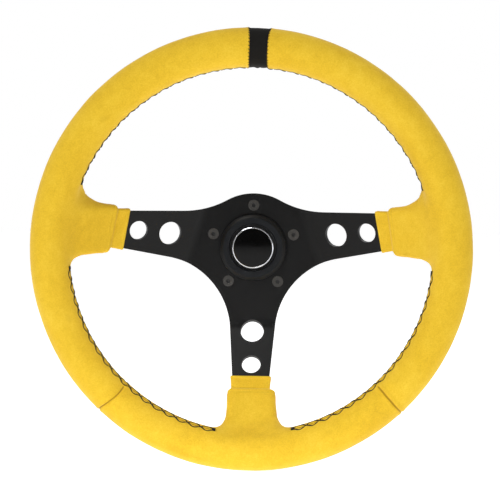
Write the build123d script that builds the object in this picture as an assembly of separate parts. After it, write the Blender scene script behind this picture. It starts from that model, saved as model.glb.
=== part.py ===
from build123d import *
import math
import os

# A quick release steering wheel for a race car or kart.
# Frame: the wheel turns about Y, the driver sits at -Y, +Z is up with the wheel straight ahead.
# The origin is the mouth of the steering shaft bore, at the column end of the splined boss.
# Every length is in millimetres and every angle in degrees.

# ---- driving dimensions ----
RIM_RADIUS = 159.15            # axis to the middle of the grip
GRIP_HALF_WIDTH = 15.45        # grip section, radially
GRIP_HALF_DEPTH = 15.9         # grip section, along Y
DISH = 59.4                    # rim middle plane to the front face of the hub plate
SKIN = 1.3                     # suede and its glue
CORE_RADIUS = 4.5              # steel ring inside the grip
CORE_SET_BACK = 3.0            # the steel ring sits this far behind the rim's middle plane

PLATE = 4.0                    # spoke plate thickness
BEND_RADIUS = 18.0             # inside radius of the three bends
SIDE_DIRECTION = 18.6          # side bend's normal, above horizontal
SIDE_BEND = 48.6               # axis to the side bend lines
SIDE_TILT = 26.8
BOTTOM_BEND = 64.0             # axis to the bottom bend line
BOTTOM_TILT = 29.55

CROWN_RADIUS = 44.8            # round top of the hub plate
ARM_TOP = 29.8                 # height of the side arms' top edge
SHOULDER_FILLET = 75.0         # between crown and arm top
SIDE_EDGE_POINT = (98.6, -2.3)  # a point of a side arm's lower edge
SIDE_EDGE_SLOPE = 11.8
BOTTOM_EDGE_POINT = (15.4, -103.0)  # a point of the bottom arm's edge
BOTTOM_EDGE_TAPER = 5.1
NOTCH_FILLET = 64.0            # between a side arm and the bottom arm

SIDE_HOLES = ((68.1, 11.1, 9.57), (92.7, 13.6, 7.77))    # x, z, radius
BOTTOM_HOLES = ((0, -69.4, 9.57), (0, -95.1, 7.77))

CUFF_START = {"left": 102.3, "right": 102.3, "bottom": 104.6}   # where the suede begins on each arm
CUFF_LENGTH = 9.3              # suede straight on the metal, before the foam begins
PAD_WIDTH = 38.6
PAD_WIDTH_AT_RIM = 42.0
PAD_DEPTH = 13.4
SIDE_PAD_HEIGHT = 15.1         # middle of the side pads above the axis
CUFF_GROWTH = 1.3

MARKER_ANGLE = 88.0            # the black centre stripe stands just past the top
MARKER_SPAN = 5.4
LEFT_SEAM = 227.5
RIGHT_SEAM = 314.0
LACING_ARCS = ((20.3, 158.9), (186.2, 259.2), (284.1, 353.7))
THREAD_RADIUS = 0.9

SCREW_CIRCLE = 69.85 / 2       # five M5 screws on 2.75 in
SCREW_ANGLES = (90, 162, 234, 306, 18)
SCREW_HEAD = 4.6
SCREW_SHANK = 2.5
SCREW_LENGTH = 14.0
SCREW_SOCKET = 3.0             # across flats

COLLAR_RADIUS = 27.5           # ring round the horn button
COLLAR_BORE = 19.3
COLLAR_HEIGHT = 7.5
PLATE_BORE = 24.0

BUTTON_RADIUS = 17.0           # chrome bezel
BUTTON_FACE = 15.75
BUTTON_HEIGHT = 9.0
CUP_BORE = 14.6                # the plunger slides in this
CUP_CHAMBER = 15.6             # wider behind it, for the contacts
CUP_FLOOR = 2.0
CONTACT = 0.6                  # thickness of the contact ring and disc
CONTACT_BORE = 12.0
TERMINAL_X = 7.0
HORN_SPRING = (9.0, 0.5, 3)    # radius, wire radius, turns

ADAPTER_RADIUS = 43.5
ADAPTER_DEPTH = 15.3
ADAPTER_RECESS = 30.8
ADAPTER_WEB = 5.0
ADAPTER_BORE = 14.0            # the splined nose passes through the web
BOLT_CIRCLE = 44.45 / 2        # three 5/16 in bolts on 1.75 in
BOLT_ANGLES = (54, 174, 294)
BOLT_SHANK = 3.97
BOLT_HEAD_FLATS = 12.7
BOLT_HEAD_HEIGHT = 5.3
BOLT_LENGTH = 9.5

SLEEVE_FLANGE_RADIUS = 31.0
SLEEVE_FLANGE = 6.0
BARREL_RADIUS = 19.0
BARREL_END = 59.0              # behind the hub plate's front face

SPLINES = 16
SPLINE_TIP = 13.65             # boss
SPLINE_ROOT = 12.2
SPLINE_WIDTH = 2.6
SPLINE_CLEARANCE = 0.1

BALLS = 6
BALL_RADIUS = 3.5
BALL_PLANE = 44.5              # behind the hub plate's front face
BALL_CENTRE = 15.9             # axis to a locked ball's centre
BALL_LIFT = 1.35               # radial travel while the collar is pulled
RELEASE_TRAVEL = 7.0
NOSE_LENGTH = 5.0              # ball plane to the boss's nose

RELEASE_RADIUS = 24.5
RELEASE_GRIP_RADIUS = 28.0
FLUTES = 36                    # finger grooves round the collar's lip
RELEASE_SPRING = (BARREL_RADIUS + 2.2, 0.65, 2)   # radius, wire radius, turns
SHAFT_BORE = 9.55              # for a 3/4 in steering shaft
SHAFT_BORE_LENGTH = 34.0
BOSS_SHOULDER_RADIUS = 17.0
BOSS_TAIL_RADIUS = 15.0
BOSS_TAIL = 13.0
WIRE_HOLE = 6.0                # through the boss, for the horn's wires

# ---- places along Y, worked out from the above ----
BOSS_SHOULDER = (59.5, 64.0)   # behind the hub plate's front face
HUB_FACE = -(BOSS_SHOULDER[1] + BOSS_TAIL)
RIM_MIDDLE = HUB_FACE - DISH
CUP_FRONT = HUB_FACE - 2.0
CUP_BACK = HUB_FACE + 8.0
CUP_INSIDE = CUP_BACK - CUP_FLOOR
BUTTON_FRONT = HUB_FACE - BUTTON_HEIGHT
PLUNGER_FRONT = BUTTON_FRONT + 3.4
PLUNGER_BACK = HUB_FACE + 2.0
ADAPTER_FRONT = HUB_FACE + PLATE
FLANGE_FRONT = ADAPTER_FRONT + ADAPTER_DEPTH
FLANGE_BACK = FLANGE_FRONT + SLEEVE_FLANGE
BARREL_BACK = HUB_FACE + BARREL_END
BALL_Y = HUB_FACE + BALL_PLANE
NOSE_Y = BALL_Y - NOSE_LENGTH
RELEASE_FRONT = BALL_Y - 8.0
RELEASE_BACK = BALL_Y + 9.5

os.makedirs("parts", exist_ok=True)


# ---- helpers ----
def turned(*profile):
    """A solid of revolution about Y from (radius, y) points."""
    return revolve(make_face(Polyline(*profile, close=True)), Axis.Y)


def ring(inner, outer, front, back):
    """A plain ring about Y."""
    return turned((inner, front), (outer, front), (outer, back), (inner, back))


def disc(radius, front, back):
    return turned((0, front), (radius, front), (radius, back), (0, back))


def facing(y):
    """A plane across the axis: local x and y are X and Z, and it faces the driver."""
    return Plane(origin=(0, y, 0), x_dir=(1, 0, 0), z_dir=(0, -1, 0))


def around(angle, radius):
    """X and Z of a point at an angle from +X towards +Z."""
    return radius * math.cos(math.radians(angle)), radius * math.sin(math.radians(angle))


def pin(x, z, radius, front, back):
    """A cylinder along Y."""
    return extrude(facing(back) * Pos(x, z) * Circle(radius), amount=back - front)


def prism(sketch, front, back):
    """A sketch in X and Z, extruded along Y."""
    return extrude(facing(back) * sketch, amount=back - front)


def wedge(start, end):
    """A tall prism that holds everything between two angles."""
    steps = 4
    reach = 2 * RIM_RADIUS
    rim = [around(start + (end - start) * i / steps, reach) for i in range(steps + 1)]
    return prism(make_face(Polyline((0, 0), *rim, close=True)), RIM_MIDDLE - 60, 40)


def joined(pieces):
    whole = pieces[0]
    for piece in pieces[1:]:
        whole = whole + piece
    return whole


def save(node, shape):
    export_step(shape, f"parts/{node}.step")


# ---- spoke plate ----
class Arm:
    """One tilted arm of the spoke plate: the sheet beyond its bend line."""

    def __init__(self, name, direction, bend, tilt, run):
        self.name = name
        self.bend = bend
        self.tilt = math.radians(tilt)
        angle = math.radians(direction)
        self.out = Vector(math.cos(angle), 0, math.sin(angle))
        self.across = Vector(-math.sin(angle), 0, math.cos(angle))
        self.slope = self.out * math.cos(self.tilt) - Vector(0, math.sin(self.tilt), 0)
        self.normal = self.out * math.sin(self.tilt) + Vector(0, math.cos(self.tilt), 0)
        self.run = Vector(run[0], 0, run[1])

    def point(self, x, z, depth=PLATE / 2):
        """The point of the sheet that is seen at x, z from the front."""
        reach = self.out.X * x + self.out.Z * z
        side = self.across.X * x + self.across.Z * z
        along = (reach - self.bend) / math.cos(self.tilt)
        corner = self.out * self.bend + Vector(0, HUB_FACE, 0)
        return corner + self.slope * along + self.across * side + self.normal * depth

    def station(self, x, z):
        """A plane across the arm at x, z, with its local y along the sheet's normal."""
        here = self.point(x, z)
        ahead = (self.point(x + self.run.X, z + self.run.Z) - here).normalized()
        width = self.normal.cross(ahead) * -1
        return Plane(origin=here, x_dir=width, z_dir=ahead)

    def sheet(self):
        """The bend and the tilted sheet, wide enough for any outline."""
        start = self.bend - BEND_RADIUS * math.tan(self.tilt / 2)
        centre_y = HUB_FACE - BEND_RADIUS

        def on_arc(radius, share):
            turn = self.tilt * share
            return start + radius * math.sin(turn), centre_y + radius * math.cos(turn)

        length = RIM_RADIUS * 1.1
        front, back = BEND_RADIUS, BEND_RADIUS + PLATE
        shift = (length * math.cos(self.tilt), -length * math.sin(self.tilt))
        front_end = on_arc(front, 1)
        back_end = on_arc(back, 1)
        front_far = (front_end[0] + shift[0], front_end[1] + shift[1])
        back_far = (back_end[0] + shift[0], back_end[1] + shift[1])
        outline = [
            ThreePointArc(on_arc(front, 0), on_arc(front, 0.5), front_end),
            Line(front_end, front_far),
            Line(front_far, back_far),
            Line(back_far, back_end),
            ThreePointArc(back_end, on_arc(back, 0.5), on_arc(back, 0)),
            Line(on_arc(back, 0), on_arc(front, 0)),
        ]
        profile = Plane(origin=(0, 0, 0), x_dir=self.out, z_dir=self.across) * make_face(outline)
        return extrude(profile, amount=RIM_RADIUS / 2, both=True)

    def beyond_bend(self):
        """Everything past the line where the flat hub ends."""
        start = self.bend - BEND_RADIUS * math.tan(self.tilt / 2)
        size = 2 * RIM_RADIUS
        middle = self.out * (start + size / 2) + Vector(0, HUB_FACE, 0)
        return Plane(origin=middle, x_dir=self.out, z_dir=self.across) * Box(size, size, size)


ARMS = (
    Arm("left", 180 - SIDE_DIRECTION, SIDE_BEND, SIDE_TILT, (-1, 0)),
    Arm("right", SIDE_DIRECTION, SIDE_BEND, SIDE_TILT, (1, 0)),
    Arm("bottom", 270, BOTTOM_BEND, BOTTOM_TILT, (0, -1)),
)


def plate_outline():
    """The plate as seen from the front: a round crown, two side arms and one bottom arm."""
    far = RIM_RADIUS + 4
    centre_x = math.sqrt((CROWN_RADIUS + SHOULDER_FILLET) ** 2 - (ARM_TOP + SHOULDER_FILLET) ** 2)
    centre = Vector(centre_x, ARM_TOP + SHOULDER_FILLET)
    touch = centre.normalized() * CROWN_RADIUS
    crown_middle = (Vector(0, CROWN_RADIUS) + touch).normalized() * CROWN_RADIUS
    inward = ((touch - centre).normalized() + Vector(0, -1)).normalized()
    shoulder_middle = centre + inward * SHOULDER_FILLET

    side_slope = math.tan(math.radians(SIDE_EDGE_SLOPE))
    taper = math.tan(math.radians(BOTTOM_EDGE_TAPER))
    side_x, side_z = SIDE_EDGE_POINT
    bottom_x, bottom_z = BOTTOM_EDGE_POINT

    def side_edge(x):
        return side_z + side_slope * (x - side_x)

    def bottom_edge(z):
        return bottom_x + taper * (z - bottom_z)

    corner_z = (side_edge(0) + side_slope * bottom_edge(0)) / (1 - side_slope * taper)
    corner = (bottom_edge(corner_z), corner_z)
    outer_low = (far, side_edge(far))
    bottom_end = (bottom_edge(-far), -far)
    edges = [
        ThreePointArc((0, CROWN_RADIUS), crown_middle, touch),
        ThreePointArc(touch, shoulder_middle, (centre_x, ARM_TOP)),
        Line((centre_x, ARM_TOP), (far, ARM_TOP)),
        Line((far, ARM_TOP), outer_low),
        FilletPolyline(outer_low, corner, bottom_end, radius=NOTCH_FILLET),
        Line(bottom_end, (0, -far)),
        Line((0, -far), (0, CROWN_RADIUS)),
    ]
    half = make_face(edges)
    return half + mirror(half, Plane.YZ)


def arm_holes():
    """The lightening holes, each square to the sheet it is in."""
    holes = []
    for arm in ARMS:
        places = BOTTOM_HOLES if arm.name == "bottom" else SIDE_HOLES
        side = -1 if arm.name == "left" else 1
        for x, z, radius in places:
            middle = arm.point(side * x, z, 0)
            across = Plane(origin=middle, x_dir=arm.across, z_dir=arm.normal)
            holes.append(across * Cylinder(radius, 6 * PLATE))
    return holes


def bare_plate():
    """The bent sheet, before any drilling, out to the steel ring."""
    outline = prism(plate_outline(), RIM_MIDDLE - 10, HUB_FACE + 2 * PLATE)
    flat = disc(RIM_RADIUS, HUB_FACE, HUB_FACE + PLATE)
    for arm in ARMS:
        flat = flat - arm.beyond_bend()
    sheet = joined([flat] + [arm.sheet() for arm in ARMS])
    reach = disc(RIM_RADIUS, RIM_MIDDLE - 20, HUB_FACE + 2 * PLATE)
    return (sheet & outline) & reach


def spoke_plate(sheet, core):
    plate = sheet - core - disc(PLATE_BORE, HUB_FACE - 1, HUB_FACE + PLATE + 1)
    for hole in arm_holes():
        plate = plate - hole
    for angle in SCREW_ANGLES:
        x, z = around(angle, SCREW_CIRCLE)
        plate = plate - Pos(x, 0, z) * screw_form(SCREW_HEAD + 0.1, SCREW_SHANK + 0.25, 2 * PLATE)
    return plate


# ---- fasteners ----
def screw_form(head, shank, length):
    """A countersunk screw's envelope on the Y axis, its head flush with the hub's face."""
    cone = head - shank
    return turned((0, HUB_FACE), (head, HUB_FACE), (head, HUB_FACE + 0.3),
                  (shank, HUB_FACE + 0.3 + cone), (shank, HUB_FACE + length), (0, HUB_FACE + length))


def hub_screws():
    blank = screw_form(SCREW_HEAD, SCREW_SHANK, SCREW_LENGTH)
    socket = prism(RegularPolygon(SCREW_SOCKET / math.sqrt(3), 6), HUB_FACE - 1, HUB_FACE + 2.4)
    screw = blank - socket
    return [Pos(*place_on_circle(angle, SCREW_CIRCLE)) * screw for angle in SCREW_ANGLES]


def place_on_circle(angle, radius):
    x, z = around(angle, radius)
    return x, 0, z


def hex_bolt():
    """A short hex head bolt on the Y axis, its head towards the driver."""
    seat = FLANGE_FRONT - ADAPTER_WEB
    top = seat - BOLT_HEAD_HEIGHT
    corner = BOLT_HEAD_FLATS / math.sqrt(3)
    flats = BOLT_HEAD_FLATS / 2
    head = prism(RegularPolygon(corner, 6), top, seat)
    bevel = turned((0, top), (flats - 0.2, top), (corner + 0.3, top + 0.9),
                   (corner + 0.3, seat), (0, seat))
    tip = seat + BOLT_LENGTH
    shank = turned((0, seat), (BOLT_SHANK, seat), (BOLT_SHANK, tip - 0.8),
                   (BOLT_SHANK - 0.8, tip), (0, tip))
    return (head & bevel) + shank


# ---- rim ----
def ring_of(section):
    """The rim's ring with the given section."""
    return revolve(Pos(RIM_RADIUS, RIM_MIDDLE) * section, Axis.Y)


def arm_pad(arm, shrink):
    """The foam's outer shape along one arm, from the step on the arm into the rim."""
    start = CUFF_START[arm.name] + CUFF_LENGTH + shrink
    end = RIM_RADIUS - 3
    sections = []
    for reach, width in ((start, PAD_WIDTH), (end, PAD_WIDTH_AT_RIM)):
        if arm.name == "bottom":
            place = arm.station(0, -reach)
        else:
            place = arm.station(arm.run.X * reach, SIDE_PAD_HEIGHT)
        outline = RectangleRounded(width - 2 * shrink, PAD_DEPTH - 2 * shrink, 4.5 - shrink)
        sections.append(place * outline)
    return loft(sections)


def arm_cuff(arm):
    """The thin end of the suede, glued straight on the metal."""
    start = CUFF_START[arm.name]
    if arm.name == "bottom":
        place = arm.station(0, -start)
        width = 2 * BOTTOM_EDGE_POINT[0] + 2 * CUFF_GROWTH
    else:
        place = arm.station(arm.run.X * start, (ARM_TOP + SIDE_EDGE_POINT[1]) / 2)
        width = ARM_TOP - SIDE_EDGE_POINT[1] + 2 * CUFF_GROWTH
    outline = RectangleRounded(width, PLATE + 2 * CUFF_GROWTH, 1.5)
    return extrude(place * outline, amount=CUFF_LENGTH + 3)


def rim_parts(sheet, core):
    foam_ring = ring_of(Circle(GRIP_HALF_WIDTH - SKIN))
    foam_form = joined([foam_ring] + [arm_pad(arm, SKIN) for arm in ARMS])
    foam = foam_form - sheet - core
    suede_ring = ring_of(Ellipse(GRIP_HALF_WIDTH, GRIP_HALF_DEPTH))
    sleeves = [arm_pad(arm, 0) for arm in ARMS] + [arm_cuff(arm) for arm in ARMS]
    outside = joined([suede_ring] + sleeves)
    skin = outside - foam_form - sheet
    half = MARKER_SPAN / 2
    spans = {
        "rim_wrap_left": (MARKER_ANGLE + half, LEFT_SEAM),
        "rim_wrap_bottom": (LEFT_SEAM, RIGHT_SEAM),
        "rim_wrap_right": (RIGHT_SEAM - 360, MARKER_ANGLE - half),
        "rim_marker": (MARKER_ANGLE - half, MARKER_ANGLE + half),
    }
    panels = {node: skin & wedge(*span) for node, span in spans.items()}
    return foam, panels


def lacing():
    """The sewn bead along the rim's inner edge, one solid for each stretch."""
    radius = RIM_RADIUS - GRIP_HALF_WIDTH - THREAD_RADIUS
    beads = []
    for start, end in LACING_ARCS:
        section = Pos(radius, RIM_MIDDLE) * Circle(THREAD_RADIUS)
        bead = revolve(section, Axis.Y, revolution_arc=end - start)
        beads.append(Rot(0, -end, 0) * bead)
    return beads


# ---- horn button ----
def hub_collar():
    front = HUB_FACE - COLLAR_HEIGHT
    return turned(
        (COLLAR_BORE + 0.8, front), (COLLAR_RADIUS - 3.0, front), (COLLAR_RADIUS - 0.6, front + 1.6),
        (COLLAR_RADIUS, front + 2.6), (COLLAR_RADIUS, HUB_FACE), (PLATE_BORE - 0.05, HUB_FACE),
        (PLATE_BORE - 0.05, HUB_FACE + PLATE), (COLLAR_BORE, HUB_FACE + PLATE),
        (COLLAR_BORE, front + 0.8))


def horn_cup():
    outer = COLLAR_BORE - 0.05
    cup = turned((CUP_BORE, CUP_FRONT), (outer, CUP_FRONT), (outer, CUP_BACK), (0, CUP_BACK),
                 (0, CUP_INSIDE), (CUP_CHAMBER, CUP_INSIDE), (CUP_CHAMBER, HUB_FACE),
                 (CUP_BORE, HUB_FACE))
    for x in (-TERMINAL_X, TERMINAL_X):
        slot = Pos(x, CUP_BACK - 1, 0) * Box(0.9, 2 * CUP_FLOOR + 4, 6.4)
        cup = cup - slot
    return cup


def horn_terminals():
    """Two spade terminals through the cup's floor."""
    blades = []
    for x in (-TERMINAL_X, TERMINAL_X):
        blade = Pos(x, CUP_BACK + 2.0, 0) * Box(0.8, 11.6, 6.3)
        blades.append(blade - Pos(x, CUP_BACK + 5.5, 0) * Rot(0, 90, 0) * Cylinder(0.9, 4))
    return blades


def horn_plunger():
    head_back = PLUNGER_FRONT + 1.0
    return turned((0, PLUNGER_FRONT), (BUTTON_FACE - 0.05, PLUNGER_FRONT), (BUTTON_FACE - 0.05, head_back),
                  (CUP_BORE - 0.08, head_back), (CUP_BORE - 0.08, HUB_FACE + 0.05),
                  (CUP_CHAMBER - 0.15, HUB_FACE + 0.05), (CUP_CHAMBER - 0.15, PLUNGER_BACK),
                  (11.5, PLUNGER_BACK), (11.5, head_back + 1.2), (0, head_back + 1.2))


def horn_bezel():
    front = BUTTON_FRONT
    back = PLUNGER_FRONT + 1.0
    return turned((BUTTON_FACE, front + 0.45), (BUTTON_FACE + 0.35, front),
                  (BUTTON_RADIUS - 0.55, front), (BUTTON_RADIUS - 0.15, front + 0.2),
                  (BUTTON_RADIUS, front + 0.6),
                  (BUTTON_RADIUS, back), (BUTTON_FACE, back))


def horn_cap():
    """The button's face, a shallow dome."""
    edge = BUTTON_FRONT + 0.9
    back = PLUNGER_FRONT
    crown = edge - 0.8
    radius = BUTTON_FACE - 0.05
    outline = [
        ThreePointArc((0, crown), (radius / 2, crown + 0.2), (radius, edge)),
        Line((radius, edge), (radius, back)),
        Line((radius, back), (0, back)),
        Line((0, back), (0, crown)),
    ]
    return revolve(make_face(outline), Axis.Y)


def coil(radius, wire, front, back, turns):
    """A helical spring about Y whose wire stays between front and back."""
    height = back - front - 2 * wire
    path = Helix(pitch=height / turns, height=height, radius=radius)
    start = path ^ 0
    tangent = path % 0
    section = Plane(origin=start.position, z_dir=tangent) * Circle(wire)
    spring = sweep(section, path=path)
    return Pos(0, back - wire, 0) * Rot(90, 0, 0) * spring


# ---- quick release ----
def spline_bars(tip, root, width, front, back):
    bars = []
    for index in range(SPLINES):
        bar = Pos((tip + root) / 2, (front + back) / 2, 0) * Box(tip - root, back - front, width)
        bars.append(Rot(0, 360 * index / SPLINES, 0) * bar)
    return bars


def adapter_flange():
    web = FLANGE_FRONT - ADAPTER_WEB
    flange = turned(
        (ADAPTER_RECESS, ADAPTER_FRONT), (ADAPTER_RADIUS - 0.6, ADAPTER_FRONT),
        (ADAPTER_RADIUS, ADAPTER_FRONT + 0.6), (ADAPTER_RADIUS, web),
        (SLEEVE_FLANGE_RADIUS + 3, FLANGE_FRONT), (ADAPTER_BORE, FLANGE_FRONT), (ADAPTER_BORE, web),
        (ADAPTER_RECESS, web))
    for angle in SCREW_ANGLES:
        x, z = around(angle, SCREW_CIRCLE)
        flange = flange - pin(x, z, SCREW_SHANK + 0.05, ADAPTER_FRONT - 1, HUB_FACE + SCREW_LENGTH + 1)
    for angle in BOLT_ANGLES:
        x, z = around(angle, BOLT_CIRCLE)
        flange = flange - pin(x, z, BOLT_SHANK + 0.13, web - 1, FLANGE_FRONT + 1)
    return flange


def release_sleeve():
    """The wheel's half of the coupling: a flange and a splined barrel with ball holes."""
    spline_front = NOSE_Y - 2.0
    bore = SPLINE_TIP + SPLINE_CLEARANCE
    small_bore = SPLINE_ROOT + 0.15
    body = turned(
        (bore, FLANGE_FRONT), (SLEEVE_FLANGE_RADIUS - 0.6, FLANGE_FRONT),
        (SLEEVE_FLANGE_RADIUS, FLANGE_FRONT + 0.6), (SLEEVE_FLANGE_RADIUS, FLANGE_BACK - 0.6),
        (SLEEVE_FLANGE_RADIUS - 0.6, FLANGE_BACK), (BARREL_RADIUS, FLANGE_BACK),
        (BARREL_RADIUS, BARREL_BACK - 0.8), (BARREL_RADIUS - 0.8, BARREL_BACK),
        (small_bore + 0.8, BARREL_BACK), (small_bore, BARREL_BACK - 0.8), (small_bore, spline_front),
        (bore, spline_front))
    slot_width = SPLINE_WIDTH + 2 * 0.06
    for bar in spline_bars(bore, small_bore - 1, slot_width, spline_front - 1, BARREL_BACK + 1):
        body = body - bar
    for index in range(BALLS):
        hole = Pos(0, BALL_Y, 0) * Rot(0, 360 * index / BALLS, 0) * Rot(0, 90, 0)
        drill = Pos(0, 0, BARREL_RADIUS / 2 + 5) * Cylinder(BALL_RADIUS + 0.05, BARREL_RADIUS)
        body = body - hole * drill
    for angle in BOLT_ANGLES:
        x, z = around(angle, BOLT_CIRCLE)
        body = body - pin(x, z, BOLT_SHANK + 0.03, FLANGE_FRONT - 1, FLANGE_BACK + 1)
    groove = ring(BARREL_RADIUS - 1.2, BARREL_RADIUS + 1, RELEASE_BACK, RELEASE_BACK + 1.5)
    return body - groove


def stop_ring():
    """The snap ring that the release collar rests against."""
    whole = ring(BARREL_RADIUS - 1.15, BARREL_RADIUS + 4.2, RELEASE_BACK + 0.05, RELEASE_BACK + 1.45)
    gap = Pos(0, RELEASE_BACK, -BARREL_RADIUS - 2) * Box(5, 6, 12)
    return whole - gap


def release_collar():
    """The sliding collar: a guide bore, a cone that lifts the balls and a finger flange."""
    cone_slope = BALL_LIFT / RELEASE_TRAVEL
    gap = 0.05
    contact = BALL_CENTRE + (BALL_RADIUS + gap) * math.sqrt(1 + cone_slope ** 2)
    guide = BARREL_RADIUS + 0.06
    cone_start = BALL_Y - (contact - guide - 0.05) / cone_slope
    mouth = contact + cone_slope * (RELEASE_BACK - BALL_Y)
    outer = RELEASE_RADIUS
    lip = RELEASE_GRIP_RADIUS
    collar = turned(
        (guide, RELEASE_FRONT + 0.5), (guide + 0.5, RELEASE_FRONT), (outer - 0.8, RELEASE_FRONT),
        (outer, RELEASE_FRONT + 0.8), (outer, RELEASE_BACK - 7.5), (lip - 0.8, RELEASE_BACK - 6.0),
        (lip, RELEASE_BACK - 5.2), (lip, RELEASE_BACK - 0.8), (lip - 0.8, RELEASE_BACK),
        (mouth, RELEASE_BACK), (guide + 0.05, cone_start), (guide, cone_start))
    for index in range(FLUTES):
        flute = Rot(0, 360 * index / FLUTES, 0) * Pos(lip + 0.9, RELEASE_BACK, 0)
        collar = collar - flute * Rot(90, 0, 0) * Cylinder(1.6, 20)
    return collar


def lock_ball(index):
    angle = 360 * index / BALLS
    x, z = around(angle, BALL_CENTRE)
    return Pos(x, BALL_Y, z) * Sphere(BALL_RADIUS)


def splined_boss():
    """The column's half: a splined nose with a ball groove, a shoulder and the shaft bore."""
    shoulder_front = HUB_FACE + BOSS_SHOULDER[0]
    shoulder_back = HUB_FACE + BOSS_SHOULDER[1]
    bore_end = -SHAFT_BORE_LENGTH
    core = turned(
        (WIRE_HOLE, NOSE_Y), (SPLINE_ROOT, NOSE_Y), (SPLINE_ROOT, shoulder_front),
        (BOSS_SHOULDER_RADIUS - 0.6, shoulder_front), (BOSS_SHOULDER_RADIUS, shoulder_front + 0.6),
        (BOSS_SHOULDER_RADIUS, shoulder_back - 0.6), (BOSS_SHOULDER_RADIUS - 0.6, shoulder_back),
        (BOSS_TAIL_RADIUS, shoulder_back), (BOSS_TAIL_RADIUS, -1.2), (BOSS_TAIL_RADIUS - 1.2, 0),
        (SHAFT_BORE, 0), (SHAFT_BORE, bore_end), (WIRE_HOLE, bore_end))
    bars = spline_bars(SPLINE_TIP + 1, SPLINE_ROOT - 1, SPLINE_WIDTH, NOSE_Y, shoulder_front)
    teeth = joined([core] + bars)
    lead = 1.5
    envelope = turned(
        (0, NOSE_Y), (SPLINE_TIP - lead, NOSE_Y), (SPLINE_TIP, NOSE_Y + lead),
        (SPLINE_TIP, shoulder_front), (BOSS_SHOULDER_RADIUS + 1, shoulder_front),
        (BOSS_SHOULDER_RADIUS + 1, 1), (0, 1))
    groove = revolve(Pos(BALL_CENTRE, BALL_Y) * Circle(BALL_RADIUS + 0.08), Axis.Y)
    return (teeth & envelope) - groove


# ---- build every node ----
core_ring = revolve(Pos(RIM_RADIUS, RIM_MIDDLE + CORE_SET_BACK) * Circle(CORE_RADIUS), Axis.Y)
sheet_metal = bare_plate()
foam_solid, wrap_panels = rim_parts(sheet_metal, core_ring)

save("spoke_plate", spoke_plate(sheet_metal, core_ring))
save("rim_core_ring", core_ring)
save("rim_foam", foam_solid)
for panel_node, panel in wrap_panels.items():
    save(panel_node, panel)
save("rim_lacing", Compound(children=lacing()))
save("hub_collar", hub_collar())
save("hub_screws", Compound(children=hub_screws()))
save("horn_cup", horn_cup())
save("horn_terminals", Compound(children=horn_terminals()))
save("horn_contact_ring", ring(CONTACT_BORE + 0.6, CUP_CHAMBER - 0.1, CUP_INSIDE - CONTACT, CUP_INSIDE))
save("horn_plunger", horn_plunger())
contact_disc = ring(CONTACT_BORE, CUP_CHAMBER - 0.3, PLUNGER_BACK, PLUNGER_BACK + CONTACT)
save("horn_contact_disc", contact_disc)
save("horn_bezel", horn_bezel())
save("horn_cap", horn_cap())
spring_radius, spring_wire, spring_turns = HORN_SPRING
spring_seat = PLUNGER_FRONT + 2.2
save("horn_spring", coil(spring_radius, spring_wire, spring_seat, CUP_INSIDE, spring_turns))
save("adapter_flange", adapter_flange())
bolts = [Pos(*place_on_circle(angle, BOLT_CIRCLE)) * hex_bolt() for angle in BOLT_ANGLES]
save("adapter_bolts", Compound(children=bolts))
save("release_sleeve", release_sleeve())
save("release_stop_ring", stop_ring())
spring_radius, spring_wire, spring_turns = RELEASE_SPRING
save("release_spring", coil(spring_radius, spring_wire, FLANGE_BACK, RELEASE_FRONT, spring_turns))
save("release_collar", release_collar())
for ball_index in range(BALLS):
    save(f"lock_ball_{ball_index + 1}", lock_ball(ball_index))
save("splined_boss", splined_boss())
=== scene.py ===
import math

import bmesh
import bpy
import numpy as np
from mathutils import Matrix, Vector, noise


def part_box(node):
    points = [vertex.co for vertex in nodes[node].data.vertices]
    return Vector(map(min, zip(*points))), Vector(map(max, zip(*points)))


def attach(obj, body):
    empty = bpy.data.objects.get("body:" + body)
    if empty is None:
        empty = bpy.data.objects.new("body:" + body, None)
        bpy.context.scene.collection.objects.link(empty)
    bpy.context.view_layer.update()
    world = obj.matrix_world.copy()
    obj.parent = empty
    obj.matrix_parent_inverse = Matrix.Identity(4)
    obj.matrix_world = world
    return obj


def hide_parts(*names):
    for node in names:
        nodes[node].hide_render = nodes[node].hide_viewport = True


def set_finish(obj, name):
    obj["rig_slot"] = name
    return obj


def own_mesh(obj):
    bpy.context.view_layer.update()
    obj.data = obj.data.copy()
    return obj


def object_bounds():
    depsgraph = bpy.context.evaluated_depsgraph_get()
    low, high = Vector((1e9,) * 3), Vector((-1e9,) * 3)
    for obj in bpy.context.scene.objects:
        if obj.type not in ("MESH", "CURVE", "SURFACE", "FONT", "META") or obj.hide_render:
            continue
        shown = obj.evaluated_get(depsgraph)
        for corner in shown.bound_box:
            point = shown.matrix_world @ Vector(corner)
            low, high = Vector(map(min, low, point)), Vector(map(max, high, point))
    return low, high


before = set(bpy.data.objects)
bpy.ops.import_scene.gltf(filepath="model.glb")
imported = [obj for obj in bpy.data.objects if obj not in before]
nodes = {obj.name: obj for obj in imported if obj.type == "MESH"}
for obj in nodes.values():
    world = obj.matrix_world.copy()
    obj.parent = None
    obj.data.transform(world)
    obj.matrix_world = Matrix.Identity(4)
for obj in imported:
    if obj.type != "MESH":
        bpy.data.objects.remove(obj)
cad_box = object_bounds()
MM = 0.001

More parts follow.
